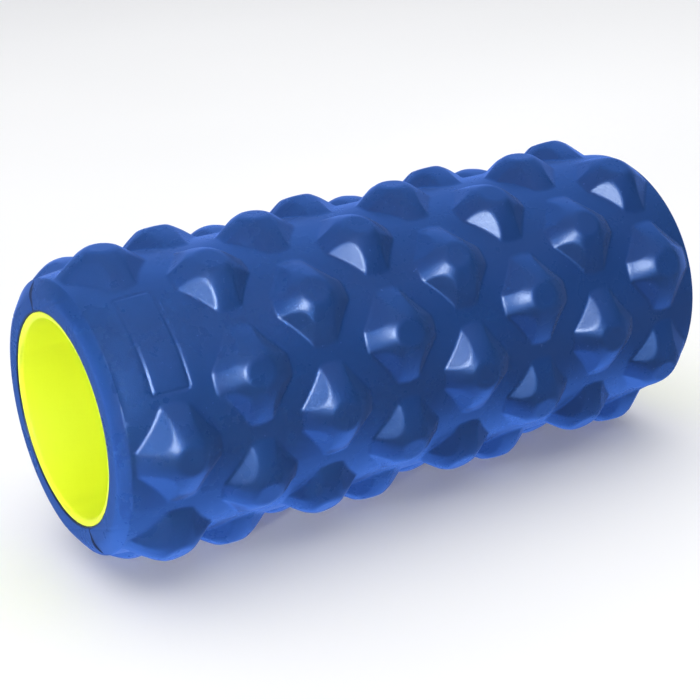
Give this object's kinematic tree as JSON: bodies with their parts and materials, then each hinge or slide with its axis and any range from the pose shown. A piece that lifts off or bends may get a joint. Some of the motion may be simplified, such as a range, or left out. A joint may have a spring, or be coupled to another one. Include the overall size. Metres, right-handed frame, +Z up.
{
  "type": "foam roller",
  "caption": "Hollow-core massage foam roller: a moulded foam sleeve with staggered faceted nodules, bonded round a rigid tube that is open right through.",
  "frame": {"origin": "middle of the bore's axis, which is the centre of the bounding box", "axes": "+X along the roller's axis, away from the end with the blank plate; +Z up as it lies on a floor"},
  "size_m": [0.305, 0.142, 0.142],
  "materials": {
    "tube_plastic": "smooth moulded lime-green plastic, semi-gloss",
    "moulded_foam": "closed-cell EVA foam with a satin moulded skin",
    "adhesive": "dark cured contact adhesive"
  },
  "bodies": {
    "root": {"core_tube": "tube_plastic", "bond_film_front": "adhesive", "bond_film_rear": "adhesive", "foam_half_front": "moulded_foam", "foam_half_rear": "moulded_foam", "seam_bond_upper": "adhesive", "seam_bond_lower": "adhesive"}
  },
  "joints": []
}
